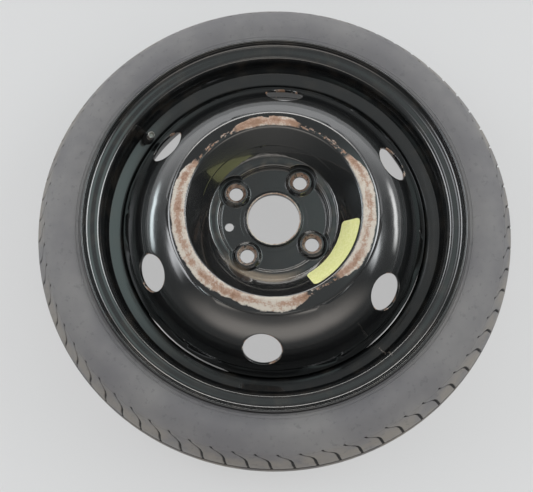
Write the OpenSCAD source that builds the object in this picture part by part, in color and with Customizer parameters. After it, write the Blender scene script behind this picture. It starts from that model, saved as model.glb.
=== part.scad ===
/* [Wheel] */
// Diameter of the bead seats, a 15 inch rim
seat_d = 380.2; // [378:0.2:382]
// Width between the rim flanges
rim_w = 101.6; // [96:0.1:108]
// How far the hub face lies outboard of the rim's middle
inset = 45; // [42:0.5:47]

/* [Rim] */
// Thickness of the rim's sheet
rim_t = 2.4; // [2.2:0.1:2.6]
// Height of the flanges above the bead seats
flange_h = 17.3; // [16.8:0.1:18]
// Radius that the flange curls round the bead
flange_curl_r = 9.5; // [9:0.1:10]
// Straight lip past the curl
lip_len = 1.6; // [0.8:0.1:2.4]
// Taper of the bead seats, degrees
seat_taper = 5; // [4:0.25:6]
// Height of the safety humps
hump_h = 1.3; // [0.8:0.1:1.6]
// Outer radius of the drop well
well_r = 170.5; // [169.5:0.1:171.5]
// Radius at which the outboard ledge begins
ledge_r = 184.8; // [184.4:0.1:185.4]
// Depth of that ledge below the outboard flange
ledge_depth = 29; // [27.5:0.25:30.5]
// Slope of the ledge, degrees
ledge_slope = 20; // [16:0.5:24]
// Width of the well's flat bottom
well_w = 36; // [32:0.5:40]

/* [Disc] */
// Thickness of the disc's sheet
disc_t = 3.2; // [2.8:0.1:3.5]
// Diameter of the hub bore
hub_bore_d = 56.1; // [54:0.1:60]
// Height of the neck round the hub bore
hub_neck_h = 6.6; // [5.5:0.1:8]
// Wall of that neck
hub_neck_t = 2.4; // [1.8:0.1:3]
// Outer radius of the flat mounting face
hub_face_r = 56.8; // [55.5:0.1:58]
// Outer radius of the step round the mounting face
step_r = 69; // [68.5:0.1:71]
// Height of that step
step_h = 9; // [7:0.25:11]
// Radius of the crown's inner edge
crown_in_r = 94; // [92.5:0.25:96]
// Height of the crown's inner edge above the hub face
crown_in_z = 43; // [40:0.25:46]
// Radius of the crown's outer edge
crown_out_r = 109.7; // [108:0.25:112]
// Slope of the vented wall, degrees
wall_slope = 58; // [56:0.5:60]
// Height of the crown at its outer bend
crown_out_z = 38.8; // [37:0.2:40]
// Slope of the wall where it leaves the crown, degrees
crown_slope = 31; // [28:0.5:34]
// Distance from the axis at which the two slopes would meet
wall_knee_r = 140; // [138:0.5:142]
// Radius with which the wall curves from one slope to the other
wall_bend = 110; // [80:1:125]
// Length of the disc's flange inside the well
disc_seat_len = 18.1; // [14:0.1:22]
// Gap between the disc's flange and the rim
disc_fit = 0.1; // [0.05:0.01:0.2]
// How far the flange is drawn in between the welds
relief = 2.6; // [1.6:0.1:3.4]
// Span of each drawn-in stretch, degrees
relief_span = 33; // [26:1:40]

/* [Holes] */
// Pitch circle of the wheel bolts
bolt_pcd = 100; // [98:0.5:101]
// Number of wheel bolts
bolt_count = 4; // [4:1:4]
// Angle of the first bolt, degrees
bolt_angle = 52.5; // [50:0.5:55]
// Diameter of the bolt holes
bolt_hole_d = 15; // [13.5:0.1:15.6]
// Diameter of the conical seats at their mouth
bolt_seat_d = 21.6; // [20.6:0.1:22.4]
// Height of the raised seats above the mounting face's front
bolt_boss_h = 4.3; // [3.2:0.1:5]
// Radius of the pocket round each seat
pocket_r = 17.6; // [17:0.1:18]
// Diameter of the small locating hole
locating_d = 9.5; // [8:0.1:11]
// Distance of the locating hole from the axis
locating_r = 48.9; // [47:0.1:50]
// Angle of the locating hole, degrees
locating_angle = 187.5; // [185:0.5:190]
// Number of vent holes
vent_count = 6; // [6:1:6]
// Diameter of the vent holes
vent_d = 41; // [36:0.5:43]
// Distance of the vent holes' centres from the axis
vent_r = 144.5; // [142:0.25:146]
// Angle of the first vent, degrees
vent_angle = 22.5; // [20:0.5:25]

/* [Tyre] */
// Outer diameter of the tyre
tyre_d = 530; // [524:1:542]
// Width of the tyre at its widest
section_w = 113; // [111:0.5:118]
// Width of the tread between its round shoulders
tread_w = 56; // [50:1:60]
// Thickness of the tread
tread_t = 10.5; // [9.5:0.5:12]
// Thickness of the sidewalls
side_t = 6.4; // [5.5:0.1:7.5]
// Depth of the three grooves round the tread
groove_depth = 4.2; // [3:0.1:5]
// Width of those grooves
groove_w = 6; // [4:0.5:8]
// Distance between the grooves
groove_pitch = 16; // [14:0.5:18]
// Number of S-shaped slots round each shoulder
slot_count = 68; // [60:1:72]
// Width of those slots
slot_w = 1.9; // [1.4:0.1:2.4]
// Depth of those slots
slot_depth = 3.2; // [2.4:0.1:4]
// Gap between the tyre's bead and the rim
bead_fit = 0.2; // [0.1:0.05:0.3]

/* [Valve] */
// Angle of the valve round the wheel, degrees
valve_angle = 141.5; // [139:0.5:144]
// Distance of the valve hole from the axis
valve_r = 177.4; // [177.2:0.1:177.8]
// Diameter of the valve hole
valve_hole_d = 11.5; // [11:0.1:11.8]
// Length of the valve outside the rim
valve_len = 29; // [28:0.5:33]
// Length of the rubber outside the rim
rubber_len = 16.5; // [14:0.5:18]
// Diameter of the stem's thread
stem_d = 7.7; // [7.5:0.05:7.9]
// Diameter of the stem's threaded bore
stem_bore_d = 5.24; // [5.1:0.02:5.4]
// Diameter of the core's pin
pin_d = 0.9; // [0.8:0.02:1]
// How far the pin can be pressed in
pin_travel = 1.2; // [0.8:0.1:1.4]

/* [Label] */
// Angle at which the blank label begins, degrees
label_start = -65; // [-68:0.5:-62]
// Angle that the label covers, degrees
label_span = 57; // [50:1:60]
// Thickness of the label
label_t = 0.3; // [0.2:0.05:0.5]
// Thickness of the glue under it
label_glue = 0.12; // [0.1:0.01:0.2]
// Distance from the step's edge to the label
label_margin = 4.3; // [3.4:0.1:6]
// Width of the label, seen along the axis
label_w = 17.5; // [14:0.1:18]

/* [Hidden] */
$fn = 96;

// Points used for each rounded corner
bend_steps = 6;
// Clearance of cutting shapes past the faces they cut
past = 1;
// Gap of pieces that are bonded or sit face to face
touch = 0.02;

// Heights, with zero at the hub face and outboard upwards
mid_z = -inset;
half_w = rim_w / 2;
seat_r = seat_d / 2;

// Unit vector along v
function unit(v) = v / norm(v);

// Arc of radius r that rounds the corner b between the points a and c, or less where they lie too close
function corner_arc(a, b, c, r) =
    let (u = unit(a - b), v = unit(c - b))
    let (half = acos(min(1, max(-1, u * v))) / 2)
    let (bend = min(r, 0.9 * min(norm(a - b), norm(c - b)) * tan(half)))
    let (centre = b + unit(u + v) * bend / sin(half))
    let (p = b + u * bend / tan(half) - centre, q = b + v * bend / tan(half) - centre)
    let (from = atan2(p.y, p.x), swing = atan2(q.y, q.x) - from)
    let (turn = swing > 180 ? swing - 360 : swing < -180 ? swing + 360 : swing)
    [for (i = [0:bend_steps])
        centre + bend * [cos(from + turn * i / bend_steps), sin(from + turn * i / bend_steps)]];

// Bent line through corners given as [radius, height, bend radius]
function bent_line(c) = [
    for (i = [0:len(c) - 1])
        let (here = [c[i].x, c[i].y])
        each (i == 0 || i == len(c) - 1 || c[i].z == 0)
            ? [here]
            : corner_arc([c[i - 1].x, c[i - 1].y], here, [c[i + 1].x, c[i + 1].y], c[i].z)
];

// The line moved sideways by d, to the left of its direction
function side_line(p, d) = [
    for (i = [0:len(p) - 1])
        let (back = i == 0 ? p[1] - p[0] : p[i] - p[i - 1])
        let (ahead = i == len(p) - 1 ? back : p[i + 1] - p[i])
        let (n = unit([-back.y, back.x]), m = unit(n + unit([-ahead.y, ahead.x])))
        p[i] + m * d / (m * n)
];

function reversed(p) = [for (i = [len(p) - 1:-1:0]) p[i]];

// Closed outline of a sheet that lies to the left of the line
function sheet(p, t) = concat(p, reversed(side_line(p, t)));

// The same corners mirrored across the rim's middle, in reverse order
function across(c) = [for (i = [len(c) - 1:-1:0]) [c[i].x, 2 * mid_z - c[i].y, c[i].z]];

// Rim: the face towards the tyre, from the outboard lip to the inboard one
lip_r = seat_r + flange_h;
flange_z = mid_z + half_w;
lip_z = flange_z + flange_curl_r + lip_len;
seat_inner_z = flange_z - 14.8;
seat_end_r = seat_r - 14.8 * tan(seat_taper);
hump_z = seat_inner_z - 4.5;
slope_top_z = hump_z - 4;
ledge_z = flange_z - ledge_depth;
ledge_foot_z = ledge_z - (ledge_r - well_r) * tan(ledge_slope);
well_top_z = ledge_foot_z;
well_end_z = well_top_z - well_w;

function flange_corners() = [
    [lip_r, lip_z, 0],
    [lip_r, flange_z, flange_curl_r],
    [seat_r, flange_z, 4.8],
    [seat_end_r, seat_inner_z, 6],
    [seat_end_r + hump_h, hump_z, 2.5],
    [seat_end_r - 0.6, slope_top_z, 4]
];
rim_corners = concat(
    flange_corners(),
    [[ledge_r, ledge_z, 4], [well_r, well_top_z, 4], [well_r, well_end_z, 6]],
    across(flange_corners())
);
rim_line = bent_line(rim_corners);
well_inner_r = well_r - rim_t;

// Disc: the front face, from the flange's end to the hub bore
disc_r = well_inner_r - disc_fit;
knee_z = crown_out_z - (wall_knee_r - crown_out_r) * tan(crown_slope);
function slope_z(r) = knee_z - (r - wall_knee_r) * tan(wall_slope);
knee_len = wall_bend * tan((wall_slope - crown_slope) / 2);
flat_z = disc_t;
step_z = flat_z + step_h;
step_in_r = hub_face_r + 2.4;
disc_end_z = well_top_z - disc_seat_len;
shoulder_bend = 8.6;

function disc_corners(r) = [
    [r, disc_end_z, 0],
    [r, slope_z(r), shoulder_bend],
    [wall_knee_r, knee_z, wall_bend],
    [crown_out_r, crown_out_z, 7.6],
    [crown_in_r, crown_in_z, 4.4],
    [step_r, step_z, 1.4],
    [step_in_r, step_z, 4.2],
    [hub_face_r, flat_z, 1],
    [hub_bore_d / 2 + hub_neck_t + 2, flat_z, 0]
];
disc_line = bent_line(disc_corners(disc_r));
relief_line = bent_line(disc_corners(disc_r - relief));
disc_back = side_line(disc_line, disc_t);
relief_back = side_line(relief_line, disc_t);
shoulder_last = bend_steps + 1;

// Vents: their centres' height and lean on the curved wall
vent_lean = asin(sin(crown_slope) + (vent_r - wall_knee_r + knee_len * cos(crown_slope)) / wall_bend);
vent_z = knee_z + knee_len * sin(crown_slope) - wall_bend * (cos(crown_slope) - cos(vent_lean));

// Wheel bolts
bolt_r = bolt_pcd / 2;
hole_r = bolt_hole_d / 2;
seat_mouth_r = bolt_seat_d / 2;
boss_z = flat_z + bolt_boss_h;
seat_foot_z = boss_z - (seat_mouth_r - hole_r) / tan(30);

// Label on the straight stretch of the dish
label_in_r = step_r + label_margin;
label_out_r = label_in_r + label_w;
dish_k = (crown_in_z - step_z) / (crown_in_r - step_r);
dish_lean = atan(dish_k);
function dish_z(r) = step_z + (r - step_r) * dish_k;

// Tyre
tyre_r = tyre_d / 2;
wall_h = tyre_r - lip_r;
tread_half = tread_w / 2;
shoulder_drop = 4.2;
shoulder_r = tyre_r - 0.27 * wall_h;
shoulder_z = mid_z + section_w / 2 - 9.5;
tread_edge_r = tyre_r - shoulder_drop;
tread_edge_z = mid_z + tread_half;
bead_w = 14;
curl_turn = 45;

// Valve: its own axis starts on the ledge's front face, where the hole is
valve_base_z = ledge_z - (ledge_r - valve_r) * tan(ledge_slope) + rim_t / cos(ledge_slope);
valve_hole_r = valve_hole_d / 2;
stem_r = stem_d / 2;
stem_neck_r = 3;
stem_bore_r = stem_bore_d / 2;
stem_foot = -13.3;
thread_start = rubber_len + 0.4;
stem_fit = 0.12;
core_top = valve_len - 3;
plug_len = 5;
barrel_top = core_top - plug_len;
barrel_len = 12;
barrel_foot = barrel_top - barrel_len;
barrel_r = 1.9;
seal_top = barrel_top - 3.2;
seal_len = 2.4;
seal_floor = seal_top - seal_len;
seal_neck_r = 1.3;
chamber_r = 1.45;
chamber_top = seal_floor - 0.6;
chamber_floor = barrel_foot + 0.8;
pin_r = pin_d / 2;
pin_hole_r = pin_r + 0.07;
pin_top = valve_len - 1;
collar_t = 0.5;
collar_top = chamber_top - 0.1;
cup_seal_t = 0.6;
cup_t = 1.1;
bore_small_r = 1.4;
bore_mid_r = barrel_r + 0.15;
bore_step = barrel_foot - cup_seal_t - cup_t - pin_travel - 1.6;
spring_wire_r = 0.14;
spring_r = 0.95;
spring_turns = 5;

module ring(points, fn = 180) {
    rotate_extrude($fn = fn) polygon(points);
}

module sector(points, start, span) {
    rotate([0, 0, start]) rotate_extrude(angle = span, $fn = 180) polygon(points);
}

module at_bolts() {
    for (i = [0:bolt_count - 1])
        rotate([0, 0, bolt_angle + i * 360 / bolt_count]) translate([bolt_r, 0, 0]) children();
}

// Puts the valve's own axis, with z outwards, at its place on the ledge
module at_valve() {
    rotate([0, 0, valve_angle])
        translate([valve_r, 0, valve_base_z])
            rotate([0, -ledge_slope, 0])
                children();
}

// Moulded tyre: tread, shoulders, sidewalls and beads in one piece. Its faces, outside and inside
function tyre_outer() = [
    [seat_r - bead_w * tan(seat_taper) + bead_fit, flange_z - bead_w, 0],
    [seat_r + bead_fit, flange_z - bead_fit, 6],
    [seat_r + flange_h - flange_curl_r + 4, flange_z - bead_fit, flange_curl_r + bead_fit],
    [lip_r + 0.6, flange_z + 5.2 - bead_fit, 2.5],
    [lip_r + 0.42 * wall_h, mid_z + section_w / 2, 40],
    [shoulder_r, shoulder_z, 14],
    [tread_edge_r, tread_edge_z, 22],
    [tyre_r, mid_z + tread_half / 3, 60],
    [tyre_r, mid_z, 0]
];
function tyre_inner() = [
    [seat_r - bead_w * tan(seat_taper) + bead_fit, flange_z - bead_w, 0],
    [seat_r + 8, flange_z - bead_w - 1, 5],
    [lip_r + 1, flange_z + 5 - side_t, 9],
    [lip_r + 0.42 * wall_h, mid_z + section_w / 2 - side_t, 30],
    [shoulder_r - 5.5, shoulder_z - 7, 12],
    [tread_edge_r - tread_t + 1.5, tread_edge_z - 2, 20],
    [tyre_r - tread_t, mid_z, 0]
];

// Slot in the plane of the shoulder: [distance outwards from its inner bend, distance round the tyre]
slot_line = [[1, -10.5], [5.5, -8.5], [8.5, -2.5], [11, 6], [15, 10], [33, 12.5]];
function without_last(p) = [for (i = [0:len(p) - 2]) p[i]];
function without_first(p) = [for (i = [1:len(p) - 1]) p[i]];
function whole(c) = concat(bent_line(c), without_first(bent_line(across(c))));

// The outboard shoulder's slots, cut square to the shoulder
module shoulder_slots() {
    fall = atan2(tread_edge_r - shoulder_r, shoulder_z - tread_edge_z);
    for (i = [0:slot_count - 1])
        rotate([0, 0, i * 360 / slot_count])
            translate([shoulder_r, 0, shoulder_z])
                rotate([0, 90 - fall, 0])
                    translate([0, 0, -slot_depth])
                        linear_extrude(height = slot_depth + 3)
                            polygon(concat(
                                side_line(slot_line, slot_w / 2),
                                reversed(side_line(slot_line, -slot_w / 2))
                            ));
}

module tyre() {
    color([0.33, 0.34, 0.35]) difference() {
        ring(concat(whole(tyre_outer()), without_last(without_first(reversed(whole(tyre_inner()))))));
        for (i = [-1:1])
            let (floor_r = tyre_r - groove_depth - abs(i) * shoulder_drop * groove_pitch / tread_half / 2)
            ring([
                [floor_r, mid_z + i * groove_pitch - groove_w / 2 + 1],
                [tyre_r + past, mid_z + i * groove_pitch - groove_w / 2 - 0.3],
                [tyre_r + past, mid_z + i * groove_pitch + groove_w / 2 + 0.3],
                [floor_r, mid_z + i * groove_pitch + groove_w / 2 - 1]
            ]);
        shoulder_slots();
        translate([0, 0, 2 * mid_z]) mirror([0, 0, 1]) shoulder_slots();
    }
}

// Rolled steel rim with its valve hole
module rim() {
    color([0.08, 0.08, 0.085]) difference() {
        ring(sheet(rim_line, -rim_t));
        at_valve() cylinder(r = valve_hole_r, h = 4 * rim_t, center = true);
    }
}

// Raised conical seat round one wheel bolt, hollow beneath like the pressing
module bolt_seat() {
    ring([
        [hole_r, 0],
        [hole_r + 1.9, 0],
        [seat_mouth_r + 1, boss_z - 3.4],
        [seat_mouth_r + 2.6, boss_z - 3.6],
        [pocket_r - 1.7, 0],
        [pocket_r + touch, 0],
        [pocket_r + touch, flat_z],
        [pocket_r - 1.2, flat_z],
        [seat_mouth_r + 2.4, boss_z - 0.5],
        [seat_mouth_r + 1.5, boss_z],
        [seat_mouth_r, boss_z],
        [hole_r, seat_foot_z]
    ], 96);
}

// Wall of the pocket that a bolt seat cuts into the step
module pocket_wall() {
    within = side_line(bent_line([
        [step_r + 2, dish_z(step_r + 2), 0],
        [step_r, step_z, 1.4],
        [step_in_r, step_z, 4.2],
        [hub_face_r, flat_z, 1],
        [hub_face_r - 4, flat_z, 0]
    ]), disc_t / 3);
    intersection() {
        ring(concat(within, [[hub_face_r - 4, 0], [hub_face_r + 2, 0], [step_r + 2, step_z - disc_t]]));
        at_bolts() difference() {
            cylinder(r = pocket_r + 2.6, h = step_z + 20);
            translate([0, 0, -past]) cylinder(r = pocket_r, h = step_z + 30);
        }
    }
}

// Draws the flange in between the welds and thins it to the sheet elsewhere
module disc_edge_cuts() {
    relief_r = disc_r - relief;
    for (i = [0:bolt_count - 1]) {
        sector(concat(
            [[relief_r, disc_end_z - past]],
            [for (k = [1:shoulder_last]) relief_line[k]],
            [[disc_r + past, relief_line[shoulder_last].y + 2], [disc_r + past, disc_end_z - past]]
        ), bolt_angle + i * 360 / bolt_count - relief_span / 2, relief_span);
        sector(concat(
            [[disc_r - disc_t, disc_end_z - past]],
            [for (k = [1:shoulder_last]) disc_back[k]],
            [relief_back[shoulder_last], [relief_r - 3 * disc_t, disc_end_z - past]]
        ), bolt_angle + i * 360 / bolt_count + relief_span / 2, 360 / bolt_count - relief_span);
    }
}

module hub_neck() {
    bore_r = hub_bore_d / 2;
    ring(concat(
        [[bore_r, 0], [bore_r, hub_neck_h - 0.8], [bore_r + 0.8, hub_neck_h]],
        bent_line([
            [bore_r + hub_neck_t, hub_neck_h, 0],
            [bore_r + hub_neck_t + 0.8, flat_z, 2],
            [bore_r + hub_neck_t + 8, flat_z, 0]
        ]),
        [[bore_r + hub_neck_t + 8, 0]]
    ));
}

// Pressed steel disc: mounting face, dish, crown, vented wall and flange
module disc() {
    color([0.09, 0.09, 0.095]) difference() {
        union() {
            difference() {
                union() {
                    ring(concat(disc_line, reversed(relief_back)));
                    hub_neck();
                }
                disc_edge_cuts();
                at_bolts() translate([0, 0, -past]) cylinder(r = pocket_r, h = step_z + 30);
            }
            pocket_wall();
            at_bolts() bolt_seat();
        }
        rotate([0, 0, locating_angle]) translate([locating_r, 0, -past])
            cylinder(d = locating_d, h = disc_t + 2 * past);
        for (i = [0:vent_count - 1])
            rotate([0, 0, vent_angle + i * 360 / vent_count])
                translate([vent_r, 0, vent_z])
                    rotate([0, vent_lean, 0])
                        cylinder(d = vent_d, h = 6 * disc_t, center = true);
    }
}

// Fillet weld that joins one seated stretch of the disc's flange to the rim
module weld_bead(i) {
    span = 360 / bolt_count - relief_span - 8;
    color([0.12, 0.115, 0.11])
        sector([
            [well_inner_r - touch, disc_end_z - touch],
            [well_inner_r - touch, disc_end_z - 4.6],
            [well_inner_r - 1.6, disc_end_z - 3.8],
            [disc_r - 3.2, disc_end_z - 1.5],
            [disc_r - 3.6, disc_end_z - touch]
        ], bolt_angle + (i + 0.5) * 360 / bolt_count - span / 2, span);
}

// Snap-in rubber body of the valve, gripped by the rim's hole
module valve_rubber() {
    neck_r = valve_hole_r - 0.05;
    back = -rim_t - 0.25;
    color([0.05, 0.05, 0.055]) at_valve() ring([
        [stem_neck_r + stem_fit, stem_foot + 1.3 + stem_fit],
        [4.5, stem_foot + 1.3 + stem_fit],
        [6, stem_foot + 2.6],
        [7.3, -6.6],
        [7.3, back - 1.2],
        [6.2, back],
        [neck_r, back],
        [neck_r, 0.2],
        [6.2, 0.25],
        [6.5, 1.4],
        [6.3, 2.6],
        [6, 4.2],
        [5.5, 8],
        [5, rubber_len - 1],
        [4.5, rubber_len],
        [stem_neck_r + 0.7, rubber_len],
        [stem_neck_r + stem_fit, rubber_len - 0.6]
    ], 96);
}

// Brass stem, with its bore for the core
module valve_stem() {
    color([0.72, 0.64, 0.45]) at_valve() ring([
        [bore_small_r, stem_foot],
        [4.3, stem_foot],
        [4.3, stem_foot + 1.3],
        [stem_neck_r, stem_foot + 1.3],
        [stem_neck_r, thread_start - 0.9],
        [stem_r, thread_start],
        [stem_r, valve_len - 0.6],
        [stem_r - 0.6, valve_len],
        [stem_bore_r + 0.3, valve_len],
        [stem_bore_r, valve_len - 0.4],
        [stem_bore_r, seal_top],
        [bore_mid_r, seal_floor],
        [bore_mid_r, bore_step + 0.6],
        [bore_small_r, bore_step]
    ], 96);
}

// Threaded plug of the core, with two flats for the key
module core_plug() {
    color([0.78, 0.7, 0.5]) at_valve() difference() {
        translate([0, 0, barrel_top + touch]) cylinder(r = stem_bore_r - 0.05, h = plug_len - touch, $fn = 48);
        translate([0, 0, barrel_top - past]) cylinder(r = pin_r + 0.4, h = plug_len + 2 * past, $fn = 48);
        for (side = [-1, 1])
            translate([side * (pin_r + 0.8 + stem_bore_r / 2), 0, core_top])
                cube([stem_bore_r, 3 * stem_bore_r, 2 * 1.9], center = true);
    }
}

// Barrel of the core, with a groove for its seal and a chamber for the spring
module core_barrel() {
    color([0.78, 0.7, 0.5]) at_valve() ring([
        [pin_hole_r, barrel_foot],
        [barrel_r, barrel_foot],
        [barrel_r, seal_floor],
        [seal_neck_r, seal_floor],
        [seal_neck_r, seal_top],
        [barrel_r, seal_top],
        [barrel_r, barrel_top],
        [pin_hole_r, barrel_top],
        [pin_hole_r, chamber_top],
        [chamber_r, chamber_top],
        [chamber_r, chamber_floor],
        [pin_hole_r, chamber_floor]
    ], 48);
}

// Conical seal in the barrel's groove
module core_seal() {
    color([0.75, 0.2, 0.15]) at_valve() ring([
        [seal_neck_r + touch, seal_floor + touch],
        [bore_mid_r - touch, seal_floor + touch],
        [stem_bore_r - 0.06, seal_top - touch],
        [seal_neck_r + touch, seal_top - touch]
    ], 48);
}

// Pin with its head and the collar that the spring pushes on
module core_pin() {
    color([0.8, 0.74, 0.58]) at_valve() ring([
        [0, barrel_foot - cup_seal_t - cup_t - 0.4],
        [pin_r, barrel_foot - cup_seal_t - cup_t - 0.4],
        [pin_r, collar_top - collar_t],
        [chamber_r - 0.25, collar_top - collar_t],
        [chamber_r - 0.25, collar_top],
        [pin_r, collar_top],
        [pin_r, pin_top - 0.7],
        [pin_r + 0.3, pin_top - 0.6],
        [pin_r + 0.3, pin_top - 0.1],
        [pin_r + 0.15, pin_top],
        [0, pin_top]
    ], 48);
}

// Cup at the pin's foot
module core_cup() {
    top = barrel_foot - cup_seal_t - 0.05;
    color([0.78, 0.7, 0.5]) at_valve() ring([
        [pin_r + touch, top - cup_t],
        [1.35, top - cup_t],
        [1.65, top],
        [pin_r + touch, top]
    ], 48);
}

// Seal that the cup holds against the barrel's foot
module core_cup_seal() {
    color([0.05, 0.05, 0.05]) at_valve() ring([
        [pin_r + touch, barrel_foot - cup_seal_t],
        [1.55, barrel_foot - cup_seal_t],
        [1.5, barrel_foot - 0.03],
        [pin_r + touch, barrel_foot - 0.03]
    ], 48);
}

// Coil spring between the chamber's floor and the pin's collar
module core_spring() {
    sides = 6;
    per_turn = 12;
    rings = spring_turns * per_turn;
    foot = chamber_floor + spring_wire_r + 0.03;
    rise = collar_top - collar_t - spring_wire_r - 0.03 - foot;
    points = [
        for (k = [0:rings], j = [0:sides - 1])
            let (turn = 360 * k / per_turn, round_wire = 360 * j / sides)
            let (reach = spring_r + spring_wire_r * cos(round_wire))
            [reach * cos(turn), reach * sin(turn), foot + rise * k / rings + spring_wire_r * sin(round_wire)]
    ];
    walls = [
        for (k = [0:rings - 1], j = [0:sides - 1])
            let (a = k * sides + j, b = k * sides + (j + 1) % sides)
            [a, b, b + sides, a + sides]
    ];
    ends = [[for (j = [sides - 1:-1:0]) j], [for (j = [0:sides - 1]) rings * sides + j]];
    color([0.6, 0.6, 0.62]) at_valve() polyhedron(points, concat(walls, ends));
}

// Blank label stuck on the dish
module label() {
    lift = label_t / cos(dish_lean);
    gap = label_glue / cos(dish_lean);
    color([0.86, 0.87, 0.6])
        sector([
            [label_in_r, dish_z(label_in_r) + gap],
            [label_out_r, dish_z(label_out_r) + gap],
            [label_out_r, dish_z(label_out_r) + gap + lift],
            [label_in_r, dish_z(label_in_r) + gap + lift]
        ], label_start, label_span);
}

tyre();
rim();
disc();
weld_bead(0);  // weld_bead_1
weld_bead(1);  // weld_bead_2
weld_bead(2);  // weld_bead_3
weld_bead(3);  // weld_bead_4
valve_rubber();
valve_stem();
core_plug();
core_barrel();
core_seal();
core_pin();
core_cup();
core_cup_seal();
core_spring();
label();
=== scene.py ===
# %% [markdown]
# A space saver spare wheel: a thin black steel wheel with a narrow tyre, seen from its outer face. The
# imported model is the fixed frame. It says where every piece lies, and this lesson gives each piece its
# visible skin. New skins are worked out in millimetres and stored in metres.

# %% Load the frame
import math

import bpy
import numpy as np
from mathutils import Matrix, Vector


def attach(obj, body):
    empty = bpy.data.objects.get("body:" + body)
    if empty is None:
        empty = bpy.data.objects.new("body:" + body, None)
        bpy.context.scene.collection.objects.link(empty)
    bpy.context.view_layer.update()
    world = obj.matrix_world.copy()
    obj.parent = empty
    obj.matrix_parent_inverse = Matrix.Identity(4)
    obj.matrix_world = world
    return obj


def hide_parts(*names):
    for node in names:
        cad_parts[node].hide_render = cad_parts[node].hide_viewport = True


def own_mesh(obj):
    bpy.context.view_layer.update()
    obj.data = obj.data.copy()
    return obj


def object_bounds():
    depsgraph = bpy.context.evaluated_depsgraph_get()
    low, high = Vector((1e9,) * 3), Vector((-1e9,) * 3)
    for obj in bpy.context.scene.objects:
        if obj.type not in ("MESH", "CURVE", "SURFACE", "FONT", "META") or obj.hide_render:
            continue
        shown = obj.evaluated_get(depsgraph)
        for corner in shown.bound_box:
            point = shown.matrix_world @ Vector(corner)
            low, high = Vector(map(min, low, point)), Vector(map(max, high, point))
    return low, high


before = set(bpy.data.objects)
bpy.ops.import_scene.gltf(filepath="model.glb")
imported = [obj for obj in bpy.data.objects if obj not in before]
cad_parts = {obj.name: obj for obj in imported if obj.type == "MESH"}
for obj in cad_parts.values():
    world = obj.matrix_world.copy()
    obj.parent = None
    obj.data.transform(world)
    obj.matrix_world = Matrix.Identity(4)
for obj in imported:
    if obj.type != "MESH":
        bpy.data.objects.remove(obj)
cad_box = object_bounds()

MM = 0.001
print("frame box in mm:", [[round(v / MM, 1) for v in corner] for corner in cad_box])

# %% [markdown]
# Almost every piece here was rolled, pressed or moulded round the wheel's axis. So one tool makes most of
# the shapes: a bent line, which is a row of straight stretches joined by arcs, carried round the axis. On a
# real wheel those arcs are the radii of the press tools, and on glossy black paint they are all that one
# sees.

# %% Bent lines
def unit(v):
    """v divided by its own length."""
    return v / np.linalg.norm(v, axis=-1, keepdims=True)


def corner_arc(before, corner, after, radius, steps):
    """Arc that rounds a corner: its centre lies on the bisector at radius / sin(half angle), and its ends
    touch both lines at radius / tan(half angle) from the corner. Corners may be arrays over the angle."""
    u, v = unit(before - corner), unit(after - corner)
    half = np.arccos(np.clip((u * v).sum(-1, keepdims=True), -1, 1)) / 2
    centre = corner + unit(u + v) * radius / np.sin(half)
    first = corner + u * radius / np.tan(half) - centre
    last = corner + v * radius / np.tan(half) - centre
    start = np.arctan2(first[..., 1], first[..., 0])
    turn = np.arctan2(last[..., 1], last[..., 0]) - start
    turn = (turn + math.pi) % (2 * math.pi) - math.pi
    angle = start + turn * np.linspace(0, 1, steps + 1).reshape(-1, *[1] * start.ndim)
    return centre + radius * np.stack([np.cos(angle), np.sin(angle)], -1)


def bent_line(corners, steps=6, spacing=4.0):
    """Points of a line through corners (radius, height, bend radius): each corner becomes an arc, and each
    straight stretch gets extra points about `spacing` apart. Radius and height may be arrays over the
    angle."""
    width = max(np.size(v) for c in corners for v in c[:2])
    xy = [np.stack([np.broadcast_to(v, width) for v in c[:2]], -1).astype(float) for c in corners]
    rows = []
    for i, corner in enumerate(corners):
        plain = i in (0, len(corners) - 1) or corner[2] == 0
        arc = xy[i][None] if plain else corner_arc(xy[i - 1], xy[i], xy[i + 1], corner[2], steps)
        if rows:
            step = arc[0] - rows[-1][-1]
            count = max(1, int(np.linalg.norm(step, axis=-1).max() / spacing))
            share = (1 - np.cos(np.linspace(0, math.pi, count + 1)[1:-1])) / 2
            rows.append(rows[-1][-1] + step * share.reshape(-1, 1, 1))
        rows.append(arc)
    line = np.concatenate(rows)
    return line[:, 0] if width == 1 else line


def normals(line):
    """At each point of a line, the normal on its left."""
    run = np.gradient(line, axis=0)
    return unit(np.stack([-run[..., 1], run[..., 0]], -1))


def beside(line, distance):
    """The line moved sideways: every point shifts by `distance` along its normal."""
    return line + normals(line) * distance


def lengths(line):
    """The way along a line from its start to each of its points."""
    return np.append(0, np.cumsum(np.linalg.norm(np.diff(line, axis=0), axis=-1)))


def rotated(x, y, angle):
    """A point of the plane turned about the origin."""
    return x * math.cos(angle) - y * math.sin(angle), x * math.sin(angle) + y * math.cos(angle)


# %% [markdown]
# A grid of points becomes a mesh of quads. Each skin is a closed shell, so its signed volume tells whether
# its faces point outwards, and they are turned round where they don't. Patches that share a border are
# welded by giving points that coincide one number.

# %% From grids to pieces
def turned(radius, angle, height):
    """Points round the axis: (radius cos angle, radius sin angle, height)."""
    return np.stack(np.broadcast_arrays(radius * np.cos(angle), radius * np.sin(angle), height), -1)


def spun(line, angles):
    """A line of (radius, height) carried round the axis to each angle."""
    line = line[:, None] if line.ndim == 2 else line
    return turned(line[..., 0], angles, line[..., 1])


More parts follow.
